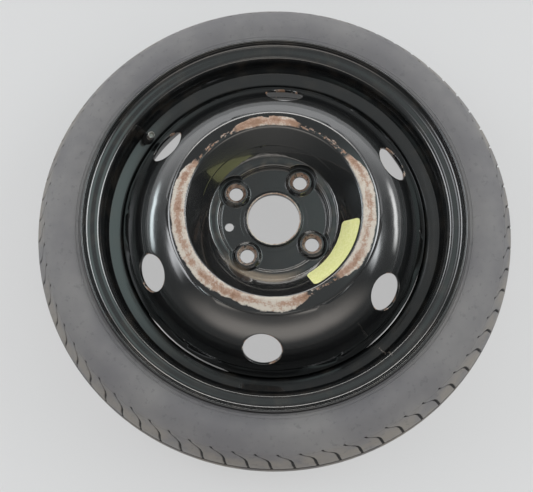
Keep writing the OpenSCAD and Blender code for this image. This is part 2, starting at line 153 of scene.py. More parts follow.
def quads_of(shape, closed_rows, closed_columns, first):
    """Corner numbers of the quads of a grid stored row after row, joined end to end where it is closed."""
    rows, columns = shape[:2]
    row = np.arange(rows if closed_rows else rows - 1)[:, None]
    column = np.arange(columns if closed_columns else columns - 1)[None]
    right, down = (column + 1) % columns, (row + 1) % rows
    corners = [row * columns + column, row * columns + right, down * columns + right, down * columns + column]
    return np.stack(np.broadcast_arrays(*corners), -1).reshape(-1, 4) + first


def volume_of(points, quads):
    """Signed volume: a sixth of the triple products of all triangles."""
    a, b, c, d = (points[quads[:, k]] for k in range(4))
    return ((a * np.cross(b, c)).sum() + (a * np.cross(c, d)).sum()) / 6


def put(name, data):
    """A new object in the scene."""
    made = bpy.data.objects.new(name, data)
    bpy.context.scene.collection.objects.link(made)
    return made


def make_piece(name, grids, replaces, depth=None):
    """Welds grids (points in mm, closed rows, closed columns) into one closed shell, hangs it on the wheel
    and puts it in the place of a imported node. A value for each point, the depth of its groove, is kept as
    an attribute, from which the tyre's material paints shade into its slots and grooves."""
    points, quads, count = [], [], 0
    for grid, closed_rows, closed_columns in grids:
        points.append(grid.reshape(-1, 3))
        quads.append(quads_of(grid.shape, closed_rows, closed_columns, count))
        count += len(points[-1])
    points, quads = np.concatenate(points), np.concatenate(quads)
    _, first, where = np.unique(np.round(points * 1000).astype(np.int64), axis=0, return_index=True,
                                return_inverse=True)
    points, quads = points[first], where.reshape(-1)[quads]
    volume = volume_of(points, quads)
    quads = quads[:, ::-1] if volume < 0 else quads
    faces = [list(dict.fromkeys(q)) for q in quads.tolist()]
    mesh = bpy.data.meshes.new(name)
    mesh.from_pydata((points * MM).tolist(), [], [f for f in faces if len(f) > 2])
    mesh.polygons.foreach_set("use_smooth", np.ones(len(mesh.polygons), bool))
    if depth is not None:
        mesh.attributes.new("depth", "FLOAT", "POINT").data.foreach_set("value", depth.reshape(-1)[first])
    mesh.update()
    piece = put(name, mesh)
    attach(piece, "wheel")
    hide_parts(replaces)
    print(f"{name}: {len(faces)} quads, {abs(volume) / 1000:.1f} cubic centimetres")
    return piece


def capped(rings):
    """Rings in a row, and at each end one more that has shrunk to its middle, which closes the tube."""
    ends = [np.repeat(rings[[k]].mean(1, keepdims=True), rings.shape[1], 1) for k in (0, -1)]
    return np.concatenate([ends[0], rings, ends[1]])


def turns(count, start=0.0):
    """Equal angles round the axis, in radians, from `start` degrees."""
    return np.radians(start) + np.arange(count) * 2 * math.pi / count


def smooth(x):
    """0 below 0, 1 above 1, and the curve 3 x^2 - 2 x^3 between."""
    x = np.clip(x, 0, 1)
    return x * x * (3 - 2 * x)


# %% [markdown]
# The driving sizes are those of the wheel itself: a 15 inch rim, 4 inches wide, whose middle lies 45 mm
# behind the hub face. Heights count from the hub face, outwards upwards.

# %% Sizes of the rim
SEAT_R = 190.1
MID_Z = -45.0
RIM_T = 2.4
FLANGE_Z = MID_Z + 50.8
LIP_R = SEAT_R + 17.3
LIP_Z = FLANGE_Z + 11.1
SEAT_TAPER = math.tan(math.radians(5))
SEAT_END_R = SEAT_R - 14.8 * SEAT_TAPER
LEDGE_SLOPE = math.radians(20)
WELL_R = 170.5
LEDGE_R, LEDGE_Z = 184.8, FLANGE_Z - 29
WELL_Z = LEDGE_Z - (LEDGE_R - WELL_R) * math.tan(LEDGE_SLOPE)
flange_corners = [
    (LIP_R, LIP_Z, 0), (LIP_R, FLANGE_Z, 9.5), (SEAT_R, FLANGE_Z, 4.8), (SEAT_END_R, FLANGE_Z - 14.8, 6),
    (SEAT_END_R + 1.3, FLANGE_Z - 19.3, 2.5), (SEAT_END_R - 0.6, FLANGE_Z - 23.3, 4),
]
print("bead seats", 2 * SEAT_R, "mm across, lips", 2 * LIP_R, "and well", 2 * WELL_R)


def across(corners):
    """The same corners mirrored across the rim's middle, in reverse order."""
    return [(c[0], 2 * MID_Z - c[1], c[2]) for c in reversed(corners)]


# %% [markdown]
# The rim is a steel band that was rolled into its section and butt welded. The skin is one closed loop: the
# face towards the tyre, a rounded lip, the face towards the hub, and the other lip. Carrying a closed loop
# round gives a shell without any seam.

# %% Rim
def sheet_loop(line, thickness, steps=5):
    """Closed loop round a sheet: the line, a half circle over its end, the line beside it backwards, and a
    half circle over its start. A half circle is middle + side cos a + ahead sin a, for a from 0 to 180
    degrees."""
    other = beside(line, thickness)
    angle = np.linspace(0, math.pi, steps + 2)[1:-1, None]

    def round_end(a, b, ahead):
        return (a + b) / 2 + (a - b) / 2 * np.cos(angle) + ahead * abs(thickness) / 2 * np.sin(angle)

    return np.concatenate([line, round_end(line[-1], other[-1], unit(line[-1] - line[-2])), other[::-1],
                           round_end(other[0], line[0], unit(line[0] - line[1]))])


rim_line = bent_line(flange_corners + [(LEDGE_R, LEDGE_Z, 4), (WELL_R, WELL_Z, 4), (WELL_R, WELL_Z - 36, 6)]
                     + across(flange_corners), steps=5, spacing=5.0)
rim_line[[0, -1], 1] += [-RIM_T / 2, RIM_T / 2]
rim = make_piece("rim_skin", [(spun(sheet_loop(rim_line, -RIM_T), turns(320)), True, True)],
                 replaces="rim")

# %% [markdown]
# The disc is one steel pressing, 3.2 mm thick. Seen in section it runs from the hub bore over a flat
# mounting face, a step, the steep wall of the dish, a crown and a domed wall with vents, to a flange inside
# the rim. Heights of the front face depend on the radius alone, except round the bolts. So the front is a
# table of radius and height, read off a bent line, and each bolt adds its seat and its pocket.

# %% Section of the disc
DISC_T = 3.2
STEP_Z = DISC_T + 9
DISC_R = WELL_R - RIM_T - 0.1
DISC_END_Z = WELL_Z - 18.1
NECK_R, DISH_R, VENT_IN_R, VENT_OUT_R, VENT_BACK_R = 33.0, 78.0, 112.0, 161.6, 160.2
CROWN_OUT_R, CROWN_OUT_Z = 109.7, 38.8
SLOPE_IN, SLOPE_OUT, WALL_BEND = math.radians(31), math.radians(58), 110.0
KNEE_R = 140.0
KNEE_Z = CROWN_OUT_Z - (KNEE_R - CROWN_OUT_R) * math.tan(SLOPE_IN)
KNEE_LEN = WALL_BEND * math.tan((SLOPE_OUT - SLOPE_IN) / 2)
WALL_CENTRE_R = KNEE_R - KNEE_LEN * math.cos(SLOPE_IN) - WALL_BEND * math.sin(SLOPE_IN)
WALL_CENTRE_Z = KNEE_Z + KNEE_LEN * math.sin(SLOPE_IN) - WALL_BEND * math.cos(SLOPE_IN)


def wall_z(radius, inset=0.0):
    """Height of the vented wall: a circle of radius WALL_BEND - inset, and its tangents before and after
    it."""
    size = WALL_BEND - inset
    u = (radius - WALL_CENTRE_R) / size
    round_part = np.sqrt(1 - np.clip(u, math.sin(SLOPE_IN), math.sin(SLOPE_OUT))**2)
    inner = 1 / math.cos(SLOPE_IN) - u * math.tan(SLOPE_IN)
    outer = 1 / math.cos(SLOPE_OUT) - u * math.tan(SLOPE_OUT)
    shape = np.where(u < math.sin(SLOPE_IN), inner, np.where(u > math.sin(SLOPE_OUT), outer, round_part))
    return WALL_CENTRE_Z + size * shape


section = bent_line([(KNEE_R, KNEE_Z, 0), (CROWN_OUT_R, CROWN_OUT_Z, 7.6), (94, 43, 4.4), (69, STEP_Z, 1.4),
                     (59.2, STEP_Z, 4.2), (56.8, DISC_T, 1.0), (30, DISC_T, 0)], steps=8, spacing=2.0)
section_back = beside(section, DISC_T)


def front_z(radius):
    """Height of the disc's front face at a radius, without the bolts."""
    return np.where(radius > 111, wall_z(radius), np.interp(radius, *section[::-1].T))


def back_z(radius):
    """Height of the disc's back face at a radius, without the bolts."""
    return np.where(radius > 110, wall_z(radius, DISC_T), np.interp(radius, *section_back[::-1].T))


print("crown stands at", round(float(front_z(100)), 1), "mm, dish wall leans",
      round(math.degrees(math.atan((front_z(90) - front_z(72)) / 18)), 1), "degrees")

# %% [markdown]
# Each bolt has a raised conical seat in a round pocket that bites into the step. Its patch is a family of
# rings: from the sector's border, through circles round the bolt, down through the hole and out again on
# the back. The rays between the circles and the sector's sides keep their distance from the axis where they
# cross the step's riser, so that the riser stays crisp. The small locating hole lies just where two sectors
# meet, so their common border goes round it, half on each side.

# %% Bolt seats
BOLT_R, BOLT_ANGLE, HOLE_R, POCKET_R = 50.0, 52.5, 7.5, 17.6
LOCATING_R, LOCATING_ANGLE, LOCATING_EDGE = 48.9, 187.5, 5.1
RISER_IN_R, RISER_OUT_R, SEAT_TOP, ROUND_R = 55.0, 62.0, 7.5, 16.4
around = np.linspace(0, math.pi, 13)
seat_line = bent_line([(HOLE_R, 1.78, 0), (10.8, SEAT_TOP, 0.5), (12.3, SEAT_TOP, 1.0), (15.9, DISC_T, 1.5),
                       (24, DISC_T, 0)], steps=4, spacing=1.2)
seat_back = np.array([(9.4, 0.0), (11.8, 4.1), (13.4, 3.9), (15.9, 0.0), (30, 0.0)])


def pocket_lift(distance):
    """How far the pocket's wall lets the front rise at a distance from the bolt's axis."""
    return 13 * smooth((distance - POCKET_R + 0.2) / 2.4) + 4 * np.maximum(0, distance - 19)


def bolt_patch_front(x, y, distance):
    """The lower of the pressing's front and the pocket's wall, and the higher of that and the bolt's
    seat."""
    base = np.minimum(front_z(np.hypot(x, y)), DISC_T + pocket_lift(distance))
    return np.maximum(base, np.interp(distance, *seat_line.T))


def bolt_patch_back(x, y, distance):
    """The same on the back: the pocket's wall lies a sheet further in, and the seat is hollow beneath."""
    base = np.minimum(back_z(np.hypot(x, y)), pocket_lift(distance - 2.6))
    return np.maximum(base, np.interp(distance, *seat_back.T))


def bolt_patch(index):
    """Rings round one bolt, all with the same number of points. Beyond ROUND_R they are squeezed towards
    the bore."""
    turn = math.radians(BOLT_ANGLE + 90 * index)
    side_r = np.concatenate([
        np.linspace(DISH_R, RISER_OUT_R, 8)[:-1], np.linspace(RISER_OUT_R, RISER_IN_R, 11),
        LOCATING_R + LOCATING_EDGE * np.cos(around), np.linspace(42, NECK_R, 7)[:-1]])
    outer, side, inner, circle = 60, len(side_r), 40, 19.8
    dent = np.sqrt(np.maximum(0, LOCATING_EDGE**2 - (side_r - LOCATING_R)**2))

    def side_of(sign, has_hole):
        dented = dent * has_hole
        return np.stack([np.hypot(side_r, dented), sign * (math.pi / 4 - np.arctan2(dented, side_r))], -1)

    def bearing(radius):
        return np.degrees(np.arccos((radius**2 - BOLT_R**2 - circle**2) / (2 * BOLT_R * circle)))

    side_bearing = np.interp(side_r, [NECK_R, RISER_IN_R, RISER_OUT_R, DISH_R],
                             [138, bearing(RISER_IN_R), bearing(RISER_OUT_R), 42])
    aligned = (side_r >= RISER_IN_R) & (side_r <= RISER_OUT_R)
    side_bearing[aligned] = bearing(side_r[aligned])
    quarter = math.pi / 4
    border = np.concatenate([
        np.stack([np.full(outer, DISH_R), np.linspace(-quarter, quarter, outer + 1)[:-1]], -1),
        side_of(1, index == 1),
        np.stack([np.full(inner, NECK_R), np.linspace(quarter, -quarter, inner + 1)[:-1]], -1),
        np.concatenate([[[NECK_R, -quarter]], side_of(-1, index == 2)[:0:-1]])])
    bearings = np.radians(np.concatenate([
        np.linspace(-42, 42, outer + 1)[:-1], side_bearing, np.linspace(138, 222, inner + 1)[:-1],
        -np.append(side_bearing[1:], 138)[::-1]]))
    squeeze = 1 - 0.93 * smooth((np.abs((np.degrees(bearings) + 180) % 360 - 180) - 100) / 50)

    def ring(distance, share, height):
        reach = np.where(distance > ROUND_R, ROUND_R + (distance - ROUND_R) * squeeze, distance)
        x, y = BOLT_R + reach * np.cos(bearings), reach * np.sin(bearings)
        radius = np.hypot(x, y) * (1 - share) + border[:, 0] * share
        angle = np.arctan2(y, x) * (1 - share) + border[:, 1] * share
        x, y = radius * np.cos(angle), radius * np.sin(angle)
        z = height(x, y, np.hypot(x - BOLT_R, y)) if callable(height) else np.full(len(x), float(height))
        return np.stack([*rotated(x, y, turn), z], -1)

    rings = [ring(circle, share, bolt_patch_front) for share in np.linspace(1, 0, 22)[:-1]]
    rings += [ring(d, 0, bolt_patch_front) for d in (19.8, 19.4, 19.0, 18.6, 18.2, 17.8, 17.4, 17.0, 16.4)]
    rings += [ring(d, 0, bolt_patch_front) for d in seat_line[seat_line[:, 0] < 16.3, 0][::-1]]
    rings += [ring(HOLE_R, 0, z) for z in (1.5, 0.4)] + [ring(7.9, 0, 0.0), ring(9.4, 0, 0.0)]
    rings += [ring(d, 0, bolt_patch_back) for d in (11.8, 13.4, 15.9, 17.8, 19.8)]
    rings += [ring(circle, share, bolt_patch_back) for share in np.linspace(0, 1, 9)[1:]]
    return np.stack(rings), False, True


# %% [markdown]
# The vents were punched square through the curved wall. A point at distances (along, across) from the
# vent's centre, on the plane that touches the wall there, is pushed along the vent's axis until it lies on
# the wall. Two small rings roll the edge over, as a punch does.

# %% Vents
VENT_RADIUS, VENT_R, VENT_START = 20.5, 144.5, 22.5
VENT_LEAN = math.asin((VENT_R - WALL_CENTRE_R) / WALL_BEND)
VENT_Z = float(wall_z(np.array(VENT_R)))
print("vents lean", round(math.degrees(VENT_LEAN), 1), "degrees at height", round(VENT_Z, 1), "mm")


def on_wall(along, across_wall, inset):
    """(radius, angle) of the pushed point. Its push is found by steps: each one moves it by its height over
    the wall times the cosine of the lean."""
    push = np.full(len(along), -float(inset))
    for _ in range(20):
        x = VENT_R + along * math.cos(VENT_LEAN) + push * math.sin(VENT_LEAN)
        z = VENT_Z - along * math.sin(VENT_LEAN) + push * math.cos(VENT_LEAN)
        push = push - (z - wall_z(np.hypot(x, across_wall), inset)) * math.cos(VENT_LEAN)
    return np.hypot(x, across_wall), np.arctan2(across_wall, x)


def vent_patch(index):
    """Rings from the sector's border on the front, through the vent, to the border on the back."""
    outer, side, inner, sixth = 40, 22, 40, math.pi / 6

    def border(out_r, in_r):
        rise = np.linspace(out_r, in_r, side + 1)
        return np.concatenate([
            np.stack([np.full(outer, out_r), np.linspace(-sixth, sixth, outer + 1)[:-1]], -1),
            np.stack([rise[:-1], np.full(side, sixth)], -1),
            np.stack([np.full(inner, in_r), np.linspace(sixth, -sixth, inner + 1)[:-1]], -1),
            np.stack([rise[::-1][:-1], np.full(side, -sixth)], -1)])

    front, back = border(VENT_OUT_R, VENT_IN_R), border(VENT_BACK_R, VENT_IN_R)
    bearings = np.arctan2(front[:, 0] * np.sin(front[:, 1]), (front[:, 0] - VENT_R) / math.cos(VENT_LEAN))
    turn = math.radians(VENT_START + 60 * index)

    def ring(edge, share, size, inset, drop=0.0):
        radius, angle = on_wall(size * np.cos(bearings), size * np.sin(bearings), inset)
        radius = radius * (1 - share) + edge[:, 0] * share
        angle = angle * (1 - share) + edge[:, 1] * share + turn
        z = wall_z(radius, inset) - drop * math.cos(VENT_LEAN)
        radius = radius - drop * math.sin(VENT_LEAN)
        return turned(radius, angle, z)

    rings = [ring(front, share, VENT_RADIUS + 1, 0)
             for share in (1, 0.85, 0.7, 0.55, 0.4, 0.25, 0.13, 0.05, 0)]
    rings += [ring(front, 0, VENT_RADIUS + 1 - roll, 0, drop)
              for roll, drop in ((0.35, 0.05), (0.65, 0.2), (0.87, 0.48), (1, 0.9))]
    rings += [ring(back, 0, VENT_RADIUS, DISC_T, -0.4), ring(back, 0, VENT_RADIUS + 0.3, DISC_T)]
    rings += [ring(back, share, VENT_RADIUS + 0.3, DISC_T) for share in (0.05, 0.3, 0.65, 1)]
    return np.stack(rings), False, True


# %% [markdown]
# At its edge the pressing bends into a flange that sits in the rim's well. Between the four welds the
# flange is drawn in a little, which leaves the thin bright slits that show on such wheels. The flange's
# radius is therefore an array over the angle.

# %% Shoulder, flange and hub neck
angles = turns(240)
from_bolt = (np.degrees(angles) - BOLT_ANGLE + 45) % 90 - 45
DRAWN_IN = 0.9
drawn_in = DRAWN_IN * (1 - smooth((np.abs(from_bolt) - 14.5) / 4))
flange_r = DISC_R - drawn_in
flange = bent_line([
    (VENT_OUT_R, wall_z(VENT_OUT_R), 0), (flange_r, wall_z(flange_r), 8.6), (flange_r, DISC_END_Z, 0.9),
    (flange_r - DISC_T, DISC_END_Z, 0.9), (flange_r - DISC_T, wall_z(flange_r - DISC_T, DISC_T), 5.4),
    (VENT_BACK_R, wall_z(VENT_BACK_R, DISC_T), 0)], steps=6, spacing=6.0)
neck = bent_line([(NECK_R, DISC_T, 0), (31.25, DISC_T, 1.8), (30.45, 6.6, 0.5), (28.05, 6.6, 0.9),
                  (28.05, 0, 0.4), (NECK_R, 0, 0)], steps=5, spacing=2.0)


def strip(low, high, line, step):
    """Part of a line between two radii, as rows from the low to the high radius."""
    radius = np.linspace(low, high, max(2, int(abs(high - low) / step) + 1))
    return np.stack([radius, line(radius)], -1)


def locating_wall():
    """Wall of the small hole: circles round its centre, with edges rolled over by 0.3 mm."""
    turn = np.concatenate([around, -around[-2:0:-1]])
    size = np.array([LOCATING_EDGE, 4.85, 4.75, 4.75, 4.9, LOCATING_EDGE])[:, None]
    height = np.array([DISC_T, 3.1, 2.85, 0.3, 0.0, 0.0])[:, None]
    x, y = LOCATING_R + size * np.cos(turn), size * np.sin(turn)
    radius, angle = np.hypot(x, y), np.arctan2(y, x) + math.radians(LOCATING_ANGLE)
    return turned(radius, angle, height), False, True


disc_grids = [bolt_patch(i) for i in range(4)] + [vent_patch(i) for i in range(6)] + [
    locating_wall(),
    (spun(strip(DISH_R, VENT_IN_R, front_z, 0.8), angles), False, True),
    (spun(strip(DISH_R, VENT_IN_R, back_z, 1.6), angles), False, True),
    (spun(flange, angles), False, True),
    (spun(neck, turns(160, BOLT_ANGLE - 45)), False, True)]
disc = make_piece("disc_skin", disc_grids, replaces="disc")

# %% [markdown]
# The tyre is one moulding. Its skin is a closed loop again, with one difference: the shoulders carry
# S-shaped slots, 68 in a turn. Slots on a grid look ragged unless the grid follows them. So the columns of
# the grid are bunched at each slot's walls, and rows slide the columns along the S where they pass the
# shoulder.

# %% Tyre
TYRE_R = 265.0
WALL_H = TYRE_R - LIP_R
SHOULDER_R = TYRE_R - 0.27 * WALL_H
SHOULDER_Z = MID_Z + 47
SLOT_COUNT, SLOT_PITCH, SLOT_DEPTH = 68, 24.5, 3.2
GROOVES, GROOVE_DEPTH = (-16, 0, 16), 4.2
outer_corners = [
    (SEAT_R - 14 * SEAT_TAPER + 0.2, FLANGE_Z - 14, 0), (SEAT_R + 0.2, FLANGE_Z - 0.2, 6),
    (LIP_R - 5.5, FLANGE_Z - 0.2, 9.7), (LIP_R + 0.6, FLANGE_Z + 5, 2.5),
    (LIP_R + 0.42 * WALL_H, MID_Z + 56.5, 40), (SHOULDER_R, SHOULDER_Z, 14),
    (TYRE_R - 4.2, MID_Z + 28, 22), (TYRE_R, MID_Z + 28 / 3, 60), (TYRE_R, MID_Z, 0),
]
inner_corners = [
    (SEAT_R - 14 * SEAT_TAPER + 0.2, FLANGE_Z - 14, 0), (SEAT_R + 8, FLANGE_Z - 15, 5),
    (LIP_R + 1, FLANGE_Z - 1.4, 9), (LIP_R + 0.42 * WALL_H, MID_Z + 50.1, 30),
    (SHOULDER_R - 5.5, MID_Z + 40, 12), (TYRE_R - 13.2, MID_Z + 26, 20), (TYRE_R - 10.5, MID_Z, 0),
]
slot_line = [(-5, -9.5), (1, -8.5), (3.5, -5.5), (6.5, 0), (10, 4.5), (14.5, 7), (33, 10)]
slot_columns = np.array([-2.3, -1.7, -1.0, 1.0, 1.7, 2.3, 12.25])


def whole(corners, steps, spacing):
    """The line from one bead over the middle to the other bead."""
    half = bent_line(corners, steps, spacing)
    return np.concatenate([half, (half * [1, -1] + [0, 2 * MID_Z])[-2::-1]])


def tyre_skin():
    """Outer line with slots and grooves, and the inner line backwards. Rows are closer where the S bends
    and on the tread. Columns bunch at a slot's walls, and each row turns them by the S of its distance from
    the shoulder. Depth is taken along the line's normal: slot depth times how far a point is inside a slot,
    faded at the slot's ends, or the groove's depth if that is more."""
    dense = whole(outer_corners, 12, 0.8)
    arc = lengths(dense)
    crowded = 1 + 2.2 * (np.abs(np.abs(dense[:, 1] - MID_Z) - 39) < 8) * (dense[:, 0] > SHOULDER_R - 2)
    crowded = crowded + 1.2 * (np.abs(dense[:, 1] - MID_Z) < 20) * (dense[:, 0] > SHOULDER_R)
    weight = np.append(0, np.cumsum((crowded[1:] + crowded[:-1]) / 2 * np.diff(arc)))
    station = np.interp(np.linspace(0, weight[-1], 151), weight, arc)
    line = np.stack([np.interp(station, arc, dense[:, k]) for k in (0, 1)], -1)
    normal = normals(line)
    normal *= np.sign((normal * (line - [LIP_R + 0.3 * WALL_H, MID_Z])).sum(-1, keepdims=True))
    arc = lengths(line)
    along = arc[-1] / 2 - np.abs(arc - arc[-1] / 2)
    bend = np.argmin(np.linalg.norm(line - [SHOULDER_R, SHOULDER_Z], axis=-1))
    outwards = along - along[bend]
    sweep = np.interp(outwards, *zip(*slot_line)) / TYRE_R
    place = (np.arange(SLOT_COUNT)[:, None] * SLOT_PITCH + slot_columns).reshape(-1)
    column = place * 2 * math.pi / (SLOT_PITCH * SLOT_COUNT)
    slot_painted_shade = np.tile(np.interp(np.abs(slot_columns), [1.0, 1.7], [1, 0]), SLOT_COUNT)
    depth = SLOT_DEPTH * smooth((outwards + 0.3) / 1.6) * (1 - smooth((outwards - 26) / 7))
    groove = np.zeros(len(line))
    for centre in GROOVES:
        off = np.abs(line[:, 1] - MID_Z - centre)
        near = (1 - smooth((off - 1.8) / 1.6)) * (line[:, 0] > SHOULDER_R)
        groove = np.maximum(groove, GROOVE_DEPTH * near)
    angle = column[None] + sweep[:, None]
    cut = np.maximum(depth[:, None] * slot_painted_shade[None], groove[:, None])
    placed = line[:, None] - normal[:, None] * cut[..., None]
    skin = turned(placed[..., 0], angle, placed[..., 1])
    inside = whole(inner_corners, 4, 12.0)[::-1][1:-1]
    print("tyre:", SLOT_COUNT, "slots,", len(column), "columns,", len(line) + len(inside), "rows")
    uncut = np.zeros((len(inside), len(column)))
    return np.concatenate([skin, spun(inside, column)]), np.concatenate([cut, uncut])


tyre_points, tyre_depth = tyre_skin()
tyre = make_piece("tyre_skin", [(tyre_points, True, True)], replaces="tyre",
                  depth=tyre_depth)

# %% [markdown]
# The valve is a rubber body that is pulled through a hole in the rim's ledge until its neck snaps in, with
# a brass stem moulded into it. Both are turned shapes about the valve's own axis, which leans 20 degrees
# inwards. The rubber has low rings, and the stem has a fine thread: its radius is a wave of height and
# angle together.

# %% Valve
VALVE_ANGLE, VALVE_R, VALVE_LEAN = math.radians(141.5), 177.4, math.radians(20)
VALVE_Z = LEDGE_Z - (LEDGE_R - VALVE_R) * math.tan(LEDGE_SLOPE) + RIM_T / math.cos(LEDGE_SLOPE)
RUBBER_LEN, VALVE_LEN, STEM_FOOT = 16.5, 29.0, -13.3
THREAD_PITCH, THREAD_DEPTH, RING_PITCH, RING_DEPTH = 0.794, 0.32, 2.1, 0.3


def at_valve(points):
    """Turns points from the valve's axis into the wheel's frame: lean about y, move out, turn round z."""
    x, z = rotated(points[..., 0], points[..., 2], VALVE_LEAN)
    return np.stack([*rotated(x + VALVE_R, points[..., 1], VALVE_ANGLE), z + VALVE_Z], -1)


def rubber_body():
    """The body's outline round its axis, with rings: radius minus RING_DEPTH times (1 - cos) of the
    height."""
    out = bent_line([(3.7, STEM_FOOT + 1.42, 0), (4.5, STEM_FOOT + 1.42, 0.3), (6, STEM_FOOT + 2.6, 0.8),
                     (7.3, -6.6, 1.5), (7.3, -3.85, 0.6), (6.2, -2.65, 0.3), (5.7, -2.65, 0.2),
                     (5.7, 0.2, 0.2), (6.2, 0.25, 0.3), (6.5, 1.4, 0.5), (6.3, 2.6, 1.0), (6, 4.2, 2.0),
                     (5.5, 8, 6), (5, RUBBER_LEN - 1, 1.2), (4.5, RUBBER_LEN, 0.4), (3.7, RUBBER_LEN, 0.2),
                     (3.12, RUBBER_LEN - 0.6, 0.1), (3.12, STEM_FOOT + 1.42, 0)], steps=3, spacing=0.32)
    ribbed = smooth((out[:, 1] - 4.4) / 0.6) * smooth((RUBBER_LEN - 1.6 - out[:, 1]) / 0.5) * (out[:, 0] > 4)
    out[:, 0] -= RING_DEPTH * ribbed * (1 - np.cos(2 * math.pi * (out[:, 1] - 4.4) / RING_PITCH))
    return at_valve(spun(out, turns(56))), True, True


def stem():
    """The stem's outline, with its thread: radius minus depth times the wave of height / pitch - angle."""
    mouth = bent_line([(3.0, STEM_FOOT + 1.3, 0), (3.0, 16.0, 0.2), (3.85, 16.9, 0.2), (3.85, 28.4, 0.2),
                       (3.25, VALVE_LEN, 0.15), (2.92, VALVE_LEN, 0.1), (2.62, 28.6, 0.1), (2.62, 23.2, 0)],
                      steps=3, spacing=0.12)
    inside = np.array([(2.62, 19.0), (2.2, 17.5), (2.2, -4.0), (1.3, -5.0), (1.3, STEM_FOOT),
                       (4.3, STEM_FOOT), (4.3, STEM_FOOT + 1.3)])
    line = np.concatenate([mouth, inside])
    angle = turns(64)
    height = line[:, 1:] + 0 * angle
    wave = 0.5 - 0.5 * np.cos(2 * math.pi * (height / THREAD_PITCH - angle / (2 * math.pi)))
    outside = (line[:, :1] > 3.7) * smooth((height - 17.0) / 0.8) * smooth((28.3 - height) / 0.5)
    radius = line[:, :1] - THREAD_DEPTH * wave * outside
    return at_valve(turned(radius, angle, height)), True, True


valve_rubber = make_piece("valve_rubber_skin", [rubber_body()], replaces="valve_rubber")
valve_stem = make_piece("valve_stem_skin", [stem()], replaces="valve_stem")

# %% [markdown]
# The core's spring gets shorter when its pin is pressed. This piece takes the imported node's place: the same
# coil, between the same ends.

# %% Spring of the core
PIN_TRAVEL, COIL_R, WIRE_R, COILS = 1.2, 0.95, 0.14, 5
valve_foot, valve_tip = at_valve(np.array([[0, 0, 0], [0, 0, 1.0]]))
valve_axis = valve_tip - valve_foot
spring_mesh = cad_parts["core_spring"].data
spring_points = np.empty(3 * len(spring_mesh.vertices), np.float32)
spring_mesh.vertices.foreach_get("co", spring_points)
spring_heights = (spring_points.reshape(-1, 3) / MM - valve_foot) @ valve_axis
spring_low, spring_high = float(spring_heights.min()), float(spring_heights.max())


def spring_coil():
    """A wire round a coil: (coil + wire cos b) (cos a, sin a), and the height grows with the turn a plus
    wire sin b. Each end closes in the wire's middle."""
    turn = np.linspace(0, COILS * 2 * math.pi, COILS * 32 + 1)[:, None]
    round_wire = turns(10)
    reach = COIL_R + WIRE_R * np.cos(round_wire)
    rise = spring_high - spring_low - 2 * WIRE_R
    height = spring_low + WIRE_R + rise * turn / turn[-1] + WIRE_R * np.sin(round_wire)
    return at_valve(capped(turned(reach, turn, height))), False, True


spring = make_piece("core_spring_skin", [spring_coil()], replaces="core_spring")
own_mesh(spring)

# %% [markdown]
# Four fillet welds hold the disc in the rim. A weld bead is a row of ripples, each the edge of one small
# pool of steel that set. So the bead's section is carried along its arc while its size swells and shrinks
# with the ripples, bent forwards in the middle, and tapers at both ends.

# %% Weld beads
WELD_SPAN, RIPPLE = 49.0, 2.6


def weld_bead(index):
    """Section (share round, pushed out by the ripple) along the arc: ripple = wave of (arc + bow) /
    RIPPLE."""
    well = WELL_R - RIM_T - 0.02
    end = DISC_END_Z
    section_line = bent_line([(well, end - 0.02, 0), (well, end - 4.6, 0.3), (well - 1.6, end - 3.8, 1.4),
                              (DISC_R - 3.2, end - 1.5, 0.8), (DISC_R - 3.6, end - 0.02, 0.1),
                              (well, end - 0.02, 0)], steps=4, spacing=0.7)[:-1]
    middle = np.array([well - 0.6, end - 0.7])
    reach = math.radians(WELD_SPAN / 2)
    angle = np.linspace(-reach, reach, 420)
    share = np.linspace(0, 1, len(section_line))
    bow = 1.2 * np.sin(math.pi * share)[:, None]
    ripple = 0.5 + 0.5 * np.cos(2 * math.pi * (angle * well + bow) / RIPPLE)
    face = np.sin(math.pi * np.clip((share - 0.08) / 0.7, 0, 1))[:, None]
    size = 1 - 0.1 * ripple * face
    taper = 0.15 + 0.85 * np.sqrt(1 - np.clip((np.abs(angle) - reach + 0.02) / 0.02, 0, 1)**2)
    radial = middle[0] + (section_line[:, :1] - middle[0]) * size * taper
    height = middle[1] + (section_line[:, 1:] - middle[1]) * size * taper
    turn = angle + math.radians(BOLT_ANGLE + 90 * index + 45)
    return capped(turned(radial, turn, height).transpose(1, 0, 2)), False, True


beads = [make_piece(f"weld_bead_skin_{index + 1}", [weld_bead(index)],
                    replaces=f"weld_bead_{index + 1}") for index in range(4)]

# %% [markdown]
# The label is a thin film on the dish wall. Its corners are round: where a row comes near the film's upper
# or lower edge, its half span shrinks by the corner radius minus the height of a circle.

# %% Label
LABEL_IN_R, LABEL_OUT_R, LABEL_START, LABEL_SPAN = 73.3, 90.8, -65.0, 57.0


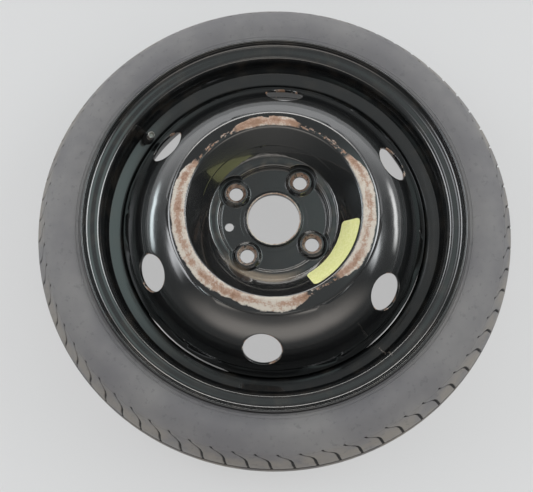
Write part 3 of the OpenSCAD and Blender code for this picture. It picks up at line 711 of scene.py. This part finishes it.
def label():
    """Rows up the wall, columns round it, on two faces that meet at the film's edge."""
    rows, columns, corner = 25, 90, 4.5
    slope = (front_z(LABEL_OUT_R) - front_z(LABEL_IN_R)) / (LABEL_OUT_R - LABEL_IN_R)
    lean = unit(np.array([-slope, 1.0]))
    height = (LABEL_OUT_R - LABEL_IN_R) * math.hypot(1, slope)
    up = height / 2 * (1 - np.cos(np.linspace(0, math.pi, rows)))
    near = np.clip(corner - np.minimum(up, height - up), 0, corner)
    inset = corner - np.sqrt(corner**2 - near**2)
    radius = LABEL_IN_R + up / math.hypot(1, slope)
    half = math.radians(LABEL_SPAN / 2) - inset / radius
    share = np.sin(np.linspace(-math.pi / 2, math.pi / 2, columns))
    angle = half[:, None] * share + math.radians(LABEL_START + LABEL_SPAN / 2)

    def face(lift):
        return turned((radius + lean[0] * lift)[:, None], angle, (front_z(radius) + lean[1] * lift)[:, None])

    top, bottom = face(0.42), face(0.12)
    rim_of = [np.concatenate([f[0, :-1], f[:-1, -1], f[-1, :0:-1], f[:0:-1, 0]]) for f in (top, bottom)]
    return [(top, False, False), (bottom[:, ::-1], False, False), (np.stack(rim_of)[:, ::-1], False, True)]


label_piece = make_piece("label_skin", label(), replaces="label")

# %% [markdown]
# Materials are sums and products over the surface, so they read best as Python expressions. The class below
# wraps one socket. An operator on it adds a Math node, and `node` adds any other kind.

# %% Shader expressions
class Field:
    """A value that varies over a surface: one socket of a material's tree."""

    def __init__(self, tree, socket=None):
        self.tree, self.socket = tree, socket

    def node(self, kind, values=(), output=0, **settings):
        """Adds a node of a kind with its settings, then gives its inputs values or links."""
        made = self.tree.nodes.new("ShaderNode" + kind)
        for name, value in settings.items():
            setattr(made, name, value)
        for name, value in dict(values).items():
            if isinstance(value, Field):
                self.tree.links.new(value.socket, made.inputs[name])
            else:
                made.inputs[name].default_value = value
        return Field(self.tree, made.outputs[output])

    def math(self, operation, *values):
        return self.node("Math", enumerate(values), operation=operation)

    def __add__(self, other):
        return self.math("ADD", self, other)

    def __sub__(self, other):
        return self.math("SUBTRACT", self, other)

    def __rsub__(self, other):
        return self.math("SUBTRACT", other, self)

    def __mul__(self, other):
        return self.math("MULTIPLY", self, other)

    def __truediv__(self, other):
        return self.math("DIVIDE", self, other)

    __radd__, __rmul__ = __add__, __mul__

    def root(self):
        return self.math("SQRT", self)

    def upto(self, other):
        return self.math("MAXIMUM", self, other)

    def wrapped(self, low, high):
        return self.math("WRAP", self, high, low)

    def rise(self, low, high):
        """0 below low, 1 above high, and a smooth step between."""
        return self.node("MapRange", {0: self, 1: low, 2: high}, interpolation_type="SMOOTHSTEP")

    def window(self, low, high, soft):
        """1 between low and high, with soft ends."""
        return self.rise(low - soft, low + soft) * (1 - self.rise(high - soft, high + soft))

    def mix(self, first, second):
        """Colour: first where this value is 0, second where it is 1."""
        colors = {6 + i: c if isinstance(c, Field) else (*c, 1) for i, c in enumerate((first, second))}
        return self.node("Mix", {0: self, **colors}, output=2, data_type="RGBA")

    def noise(self, scale, detail=3.0, roughness=0.5):
        """Noise of this vector, between about 0.3 and 0.7, with `scale` waves in a metre."""
        return self.node("TexNoise", {"Vector": self, "Scale": scale, "Detail": detail,
                                      "Roughness": roughness})


def new_tree(owner):
    """Empties the node tree of a material or world, and gives the first handle on it."""
    owner.use_nodes = True
    owner.node_tree.nodes.clear()
    return Field(owner.node_tree)


def show(shader, kind="Material"):
    """Links a shader to its tree's output."""
    out = shader.tree.nodes.new("ShaderNodeOutput" + kind)
    shader.tree.links.new(shader.socket, out.inputs["Surface"])


def surface(name, paint, **constants):
    """A material: paint(place, x, y, z) returns the linked inputs of the Principled shader, and the height
    in mm of its relief as "relief". The constants go on the shader's own sockets."""
    made = bpy.data.materials.new(name)
    start = new_tree(made)
    place = start.node("TexCoord", output="Object")
    x, y, z = (start.node("SeparateXYZ", {0: place}, output=k) * 1000 for k in range(3))
    linked = paint(place, x, y, z)
    relief = linked.pop("relief", None)
    if relief:
        linked["Normal"] = start.node("Bump", {"Height": relief, "Distance": MM, "Strength": 1.0})
    show(start.node("BsdfPrincipled", {**constants, **linked}))
    print(f"{name}: {len(start.tree.nodes)} nodes")
    return made


def dress(piece, made):
    """Gives a piece its material, in the mesh's own slot."""
    piece.data.materials.clear()
    piece.data.materials.append(made)


# %% [markdown]
# The wheel is stove-enamelled black: a smooth, dark coat with a faint orange peel, dust in the corners and
# worn places. On the crown's flat ring, the four bolt cones, the bore's edge and spots of the vents' edges
# the paint is rubbed off, and the steel shows a chalky cream with rusty patches.

# %% Black paint and its wear
BLACK, DUST = (0.0075, 0.008, 0.0085), (0.30, 0.235, 0.17)
CREAM, PINKISH, RUST = (0.60, 0.54, 0.47), (0.40, 0.25, 0.18), (0.22, 0.11, 0.055)
GLOSS = {"IOR": 1.7, "Specular IOR Level": 0.5, "Coat Roughness": 0.05, "Coat IOR": 1.7}
RING_IN_R, RING_OUT_R, STREAK_R = 94.4, 99.0, 0.03


def polar(x, y):
    """Distance from the wheel's axis in mm, and the angle clockwise from the top in degrees."""
    return (x * x + y * y).root(), (x.math("ARCTAN2", x, y) * (180 / math.pi)).wrapped(0, 360)


def enamel(place, worn, dusty, rusty=0.0):
    """Paint: black, dusty where `dusty` is 1, worn through where `worn` is 1. The bare steel is cream,
    pinkish and rusty in turn as its noise grows, and `rusty` shifts that."""
    fine = place.noise(900, 3, 0.6)
    patches = 0.3 * place.noise(55, 3) + 0.4 * place.noise(230, 5, 0.7) + 0.3 * fine + rusty
    bare = patches.rise(0.44, 0.56).mix(CREAM, PINKISH)
    bare = (patches.rise(0.55, 0.66) * 0.8).mix(bare, RUST)
    color = (dusty * (0.35 + 0.65 * fine)).mix(BLACK, DUST)
    return {
        "Base Color": worn.mix(color, bare),
        "Roughness": 0.13 + 0.10 * place.noise(45, 3) + dusty * 0.25 + worn * 0.5,
        "Coat Weight": (1 - worn) * (1 - 0.6 * dusty),
        "relief": 0.012 * place.noise(420, 2) - worn * (0.08 + 0.12 * fine),
    }


def streaked(place, x, y, radius):
    """Coordinates in which a noise looks drawn out along the wheel's turn: the direction from the axis, on
    a circle of STREAK_R metres, and the distance from the axis as height."""
    size = radius / STREAK_R
    return place.node("CombineXYZ", {0: x / size, 1: y / size, 2: radius * MM})


def in_sector(radius, clock, start, count):
    """Distances in mm along and across the middle line of the nearest of `count` equal sectors round the
    axis."""
    side = (clock * -1 + (90 - start)).wrapped(-180 / count, 180 / count) * (math.pi / 180)
    return radius * side.math("COSINE", side), radius * side.math("SINE", side)


def disc_enamel(place, x, y, z):
    """The pressing's paint. The ring on the crown is worn where `strong` says, between an inner and an
    outer edge that a noise makes ragged, and in flecks elsewhere. Cones, bore and vents are worn by
    distance from an axis."""
    radius, clock = polar(x, y)
    drawn = streaked(place, x, y, radius)
    ragged = 0.6 * place.noise(90, 4, 0.6) + 0.4 * drawn.noise(260, 3) - 0.5
    speck = place.noise(600, 3, 0.6) - 0.5
    strong = (clock.window(60, 136, 10) + clock.window(166, 198, 9) + clock.window(214, 302, 9)
              + 0.5 * clock.window(198, 214, 4)
              + 0.75 * (clock.window(341, 361, 9) + clock.window(-9, 16, 9)))
    outer = RING_OUT_R + 8.8 * strong + 8 * ragged + 2 * speck
    inner = RING_IN_R - 0.8 * strong - 3 * ragged - 2 * speck
    ring = (radius - inner).rise(-0.5, 0.7) * (outer - radius).rise(-0.6, 0.8) * z.rise(30, 34)
    flecks = (0.5 * place.noise(330, 4, 0.65) + 0.5 * drawn.noise(420, 3)).rise(0.50, 0.58)
    ring = ring * strong.rise(0.1, 0.3).upto(flecks)
    ahead, aside = in_sector(radius, clock, BOLT_ANGLE, 4)
    bolt = ((ahead - BOLT_R) * (ahead - BOLT_R) + aside * aside).root() + 1.2 * ragged
    cone = 0.7 * bolt.window(7.7, 10.8, 0.25) * z.rise(1.5, 2.2) * place.noise(380, 3).rise(0.36, 0.48)
    bore = (radius + 1.5 * speck).window(27.6, 29.2, 0.2) * z.rise(5.6, 6.2)
    ahead, aside = in_sector(radius, clock, VENT_START, 6)
    along = (ahead - VENT_R) * math.cos(VENT_LEAN) - (z - VENT_Z) * math.sin(VENT_LEAN)
    vent = (along * along + aside * aside).root() + 1.4 * speck
    vent_edge = vent.window(20.2, 21.3, 0.25) * radius.rise(120, 122) * place.noise(75, 3).rise(0.52, 0.6)
    worn = ring.upto(cone).upto(bore).upto(vent_edge)
    middle = (radius - 0.5 * (inner + outer)).window(-3.2, 3.2, 2.4)
    at_top = clock.window(338, 361, 8) + clock.window(-8, 20, 8)
    streaks = drawn.noise(330, 5, 0.65) - 0.5
    rusty = (0.10 * (middle - 0.5) + 0.05 * (1 - strong) + 0.05 * at_top + 0.10 * (cone + vent_edge)
             + 0.2 * streaks)
    haze = clock.window(165, 226, 16) * radius.window(63.5, 72, 2.2) * (0.6 + 0.8 * drawn.noise(120, 3))
    corners = z.rise(2, 9) * (1 - radius.rise(60, 74)) * place.noise(70, 4).rise(0.45, 0.66) * 0.22
    made = enamel(place, worn, haze.upto(corners), rusty)
    hub_rings = 0.3 * radius.rise(36, 37) + 0.25 * radius.rise(31.4, 32) - 0.25 * radius.rise(32, 32.6)
    made["relief"] = made["relief"] + hub_rings
    return made


def rim_enamel(place, x, y, z):
    """The rim's paint, with a little dust and the butt weld as a low ridge across the flange."""
    radius, clock = polar(x, y)
    dusty = place.noise(55, 4).rise(0.45, 0.68) * 0.3
    across_seam = clock - 143 + (place.noise(200) - 0.5)
    seam = across_seam.window(-0.25, 0.25, 0.12) * radius.window(176, 192, 2)
    made = enamel(place, 0.2 * seam, 0.25 * dusty)
    made["relief"] = made["relief"] + 0.35 * seam
    return made


def weld_enamel(place, x, y, z):
    """The beads' paint, worn in spots."""
    return enamel(place, place.noise(160, 3).rise(0.62, 0.66), 0.1 * place.noise(90, 3).rise(0.4, 0.6), 0.06)


disc_paint = surface("disc_paint", disc_enamel, **GLOSS)
rim_paint = surface("rim_paint", rim_enamel, **GLOSS)
weld_paint = surface("weld_paint", weld_enamel, **GLOSS)
dress(disc, disc_paint)
dress(rim, rim_paint)
for bead in beads:
    dress(bead, weld_paint)

# %% [markdown]
# Tyre rubber is a dull dark grey, a little bluish where it is clean and brownish where it met the road. The
# valve's rubber is blacker. Both get a fine grain, because moulded rubber is never smooth.

# %% Rubber, brass, label
def tyre_rubber(place, x, y, z):
    """Cloudy grey, brownish at the tread, with fine ribs on the sidewall, and painted shade, near black, in
    the gap at the rim and in the slots and grooves, where the mesh's depth attribute says."""
    radius, _ = polar(x, y)
    cloud = place.noise(9, 4, 0.6)
    grain = place.noise(1400, 2)
    spots = place.noise(160, 4, 0.7).rise(0.58, 0.66)
    clean = cloud.rise(0.35, 0.65).mix((0.165, 0.160, 0.168), (0.222, 0.215, 0.215))
    scuffed = radius.rise(246, 258) * place.noise(30, 4, 0.6).rise(0.36, 0.6)
    color = (0.7 * scuffed).mix(clean, (0.27, 0.245, 0.215))
    color = (spots * 0.3).mix(color, (0.09, 0.09, 0.095))
    ribs = radius.window(210.4, 211.2, 0.35) + radius.window(213.6, 214.4, 0.35)
    ribs = ribs + radius.window(250.2, 251, 0.4)
    # Painted shade: below the rim's lip the rubber is painted near black for the shade in the gap between
    # tyre and lip.
    gap_painted_shade = (1 - radius.rise(207.6, 209.4)) * 0.85
    # Painted shade: near black at the bottom of the slots and grooves, as deep as the depth attribute says.
    slot_painted_shade = place.node("Attribute", attribute_name="depth", output=2).rise(0.2, 1.6) * 0.93
    # The near-black colour below is painted shade in the gap and the slots, not the rubber's own colour.
    return {"Base Color": gap_painted_shade.upto(slot_painted_shade).mix(color, (0.012, 0.012, 0.013)),
            "Roughness": 0.5 + 0.2 * grain, "relief": 0.05 * grain + 0.35 * ribs + 0.05 * spots}


def valve_black(place, x, y, z):
    """Black rubber with a fine grain."""
    grain = place.noise(1600, 2)
    return {"Base Color": place.noise(220, 3).rise(0.4, 0.7).mix((0.012, 0.012, 0.013), (0.03, 0.03, 0.03)),
            "Roughness": 0.42 + 0.2 * grain, "relief": 0.03 * grain}


def brass(bright, dull):
    """A stained metal between two colours."""
    def paint(place, x, y, z):
        stain = place.noise(350, 4, 0.6)
        return {"Base Color": stain.rise(0.4, 0.62).mix(bright, dull), "Roughness": 0.2 + 0.35 * stain,
                "Metallic": 1 - 0.3 * stain.rise(0.5, 0.7), "relief": 0.01 * place.noise(2500, 2)}
    return paint


def label_paper(place, x, y, z):
    """Pale yellow with a fine mottle and a few duller stains."""
    mottle, stain = place.noise(420, 4, 0.6), place.noise(60, 3)
    color = mottle.rise(0.4, 0.62).mix((0.82, 0.82, 0.33), (0.90, 0.89, 0.45))
    return {"Base Color": (stain.rise(0.55, 0.75) * 0.35).mix(color, (0.62, 0.58, 0.30)),
            "Roughness": 0.38 + 0.2 * mottle, "relief": 0.02 * mottle}


def seal(place, x, y, z):
    """Red seal rubber."""
    return {"Base Color": place.noise(900, 2).rise(0.4, 0.6).mix((0.35, 0.03, 0.02), (0.25, 0.02, 0.015)),
            "Roughness": 0.5 + 0.1 * place.noise(1500)}


dress(tyre, surface("tyre_rubber", tyre_rubber, **{"Specular IOR Level": 0.4}))
dress(valve_rubber, surface("valve_rubber", valve_black))
dress(valve_stem, surface("valve_brass", brass((0.50, 0.49, 0.47), (0.28, 0.27, 0.25))))
dress(label_piece, surface("label_film", label_paper, **{"Coat Weight": 0.3, "Coat Roughness": 0.15}))
core_metal = surface("core_brass", brass((0.70, 0.69, 0.66), (0.46, 0.43, 0.37)))
for name in ("core_plug", "core_barrel", "core_pin", "core_cup"):
    dress(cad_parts[name], core_metal)
dress(spring, surface("spring_wire", brass((0.6, 0.6, 0.6), (0.4, 0.4, 0.4))))
core_rubber = surface("seal_rubber", seal)
for name in ("core_seal", "core_cup_seal"):
    dress(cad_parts[name], core_rubber)

# %% [markdown]
# The wheel lies on a pale floor under soft lamps. To the camera the floor shows mostly its own pale colour,
# with part of its real light and shadow, so that the wheel stays grounded. Mirrors see more of the real
# light. The lamps are left out of mirror reflections, because their straight edges would show in the glossy
# paint.

# %% Floor, lamps and camera
PALE, CAMERA_SHARE, MIRROR_SHARE, FLOOR_REACH = 0.718, 0.64, 0.3, 30.0


def make_floor():
    """A plain square at the wheel's lowest point. Its own pale colour takes a share of what the camera and
    mirrors see, and the rest is its real light and shadow."""
    reach, low = FLOOR_REACH, cad_box[0][2]
    mesh = bpy.data.meshes.new("floor")
    corners = [(-reach, -reach, low), (reach, -reach, low), (reach, reach, low), (-reach, reach, low)]
    mesh.from_pydata(corners, [], [(0, 1, 2, 3)])
    made = bpy.data.materials.new("floor")
    start = new_tree(made)
    lit = start.node("BsdfDiffuse", {"Color": (0.72, 0.725, 0.74, 1)})
    own = start.node("Emission", {"Color": (1, 1, 1, 1), "Strength": PALE})
    mirrored = start.node("LightPath", output="Is Glossy Ray") * MIRROR_SHARE
    direct = (start.node("LightPath", output="Is Camera Ray") * CAMERA_SHARE).upto(mirrored)
    show(start.node("MixShader", {0: direct, 1: lit, 2: own}))
    mesh.materials.append(made)
    put("floor", mesh)


def soft_box(name, place, width, height, radiance, color):
    """An area lamp that faces the wheel. Its power is radiance times area times pi."""
    lamp = bpy.data.lights.new(name, "AREA")
    lamp.shape, lamp.size, lamp.size_y = "RECTANGLE", width, height
    lamp.energy = radiance * width * height * math.pi
    lamp.color = color
    made = put(name, lamp)
    made.location = place
    made.rotation_euler = (-Vector(place)).to_track_quat("-Z", "Y").to_euler()
    made.visible_glossy = False
    print(f"{name}: {lamp.energy:.1f} watts")


make_floor()
soft_box("left_box", (-1.3, 0.5, 1.5), 1.2, 1.2, 1.3, (0.97, 0.98, 1.0))
soft_box("right_box", (1.4, -0.2, 1.3), 1.2, 1.2, 1.1, (1.0, 0.98, 0.96))
soft_box("front_box", (0.1, -1.5, 1.2), 1.8, 0.9, 1.0, (1.0, 0.97, 0.94))

# %% [markdown]
# Gloss black is a mirror, so the room decides how it looks. Here the world is that room: dim above, pale at
# the horizon behind the wheel and warm in front, with level strips of light and two soft spots high up. The
# strips lie where only the bends in the sheet mirror them, and draw their bright lines. All have soft
# edges. The lamps above light the matt surfaces, and the camera sees only a plain pale backdrop.

# %% The room
world = bpy.data.worlds.new("studio")
bpy.context.scene.world = world
start = new_tree(world)
direction = start.node("TexCoord", output="Generated")
east, north, high = (start.node("SeparateXYZ", {0: direction}, output=k) for k in range(3))
unseen = 1 - start.node("LightPath", output="Is Camera Ray")


def patch(azimuth, elevation, reach, soft):
    """1 within `reach` degrees of a direction, and 0 beyond `soft` degrees: a smooth step of their
    cosine."""
    azimuth, elevation = math.radians(azimuth), math.radians(elevation)
    level = math.cos(elevation)
    near = (east * (math.cos(azimuth) * level) + north * (math.sin(azimuth) * level)
            + high * math.sin(elevation))
    return near.rise(math.cos(math.radians(soft)), math.cos(math.radians(reach)))


def bar(azimuth, half_width, lowest, highest):
    """A level strip of sky with soft edges: 1 within half_width degrees of an azimuth and between two
    elevations."""
    azimuth = math.radians(azimuth)
    near = east * math.cos(azimuth) + north * math.sin(azimuth)
    level = high.window(math.sin(math.radians(lowest)), math.sin(math.radians(highest)), 0.025)
    return level * near.rise(math.cos(math.radians(half_width + 7)), math.cos(math.radians(half_width - 7)))


room = [
    ((0.92, 0.97, 0.97), 0.15 + 0.12 * high.rise(0.5, 0.95)),
    ((0.97, 0.98, 1.00), 1.05 * north.rise(0.2, 0.85) * (1 - high.rise(0.05, 0.62))),
    ((1.00, 0.93, 0.86), 1.05 * (0 - north).rise(0.35, 0.85) * high.window(0.24, 0.55, 0.12)),
    ((1.00, 0.97, 0.92), 4.2 * bar(90, 42, 15, 25)),
    ((1.00, 0.95, 0.88), 3.6 * bar(-90, 48, 47, 60)),
    ((0.86, 0.97, 1.00), 6.0 * bar(163, 13, 3, 8)),
    ((0.96, 0.97, 0.96), 5.0 * bar(12, 13, 3, 8)),
    ((0.95, 0.98, 1.00), 5.5 * bar(15, 38, 25, 49)),
    ((0.95, 0.97, 1.00), 4.0 * bar(165, 38, 25, 47)),
    ((0.74, 1.00, 0.98), 0.5 * patch(32, 60, 7, 27)),
    ((0.90, 0.95, 1.00), 1.6 * patch(140, 68, 2, 11)),
]
total = start.node("Background", {"Color": (PALE, PALE, PALE, 1), "Strength": 1 - unseen})
for color, strength in room:
    part = start.node("Background", {"Color": (*color, 1), "Strength": strength * unseen})
    total = start.node("AddShader", {0: total, 1: part})
show(total, "World")
print("room:", len(room), "lights")

# %% [markdown]
# The camera stands a metre away and leans 14.6 degrees from the wheel's axis, with a slight roll, as in the
# photograph. Its place is given along its own three axes, so that a step to the side doesn't turn it.

# %% Camera
TILT, ROLL = math.radians(14.56), math.radians(2.70)
STEP_RIGHT, STEP_UP, STEP_BACK, AIM_Z = -0.0079, -0.0288, 1.0, 0.0032
right = Vector((math.cos(ROLL), -math.cos(TILT) * math.sin(ROLL), -math.sin(TILT) * math.sin(ROLL)))
up = Vector((math.sin(ROLL), math.cos(TILT) * math.cos(ROLL), math.sin(TILT) * math.cos(ROLL)))
back = Vector((0, -math.sin(TILT), math.cos(TILT)))
lens = bpy.data.cameras.new("camera")
lens.lens, lens.sensor_width, lens.sensor_fit = 62.29, 36.0, "HORIZONTAL"
camera = put("camera", lens)
place = right * STEP_RIGHT + up * STEP_UP + back * STEP_BACK + Vector((0, 0, AIM_Z))
camera.matrix_world = Matrix((right, up, back)).transposed().to_4x4()
camera.location = place
bpy.context.scene.camera = camera
bpy.context.scene.view_settings.view_transform = "Standard"
print("camera at", [round(v, 3) for v in place])
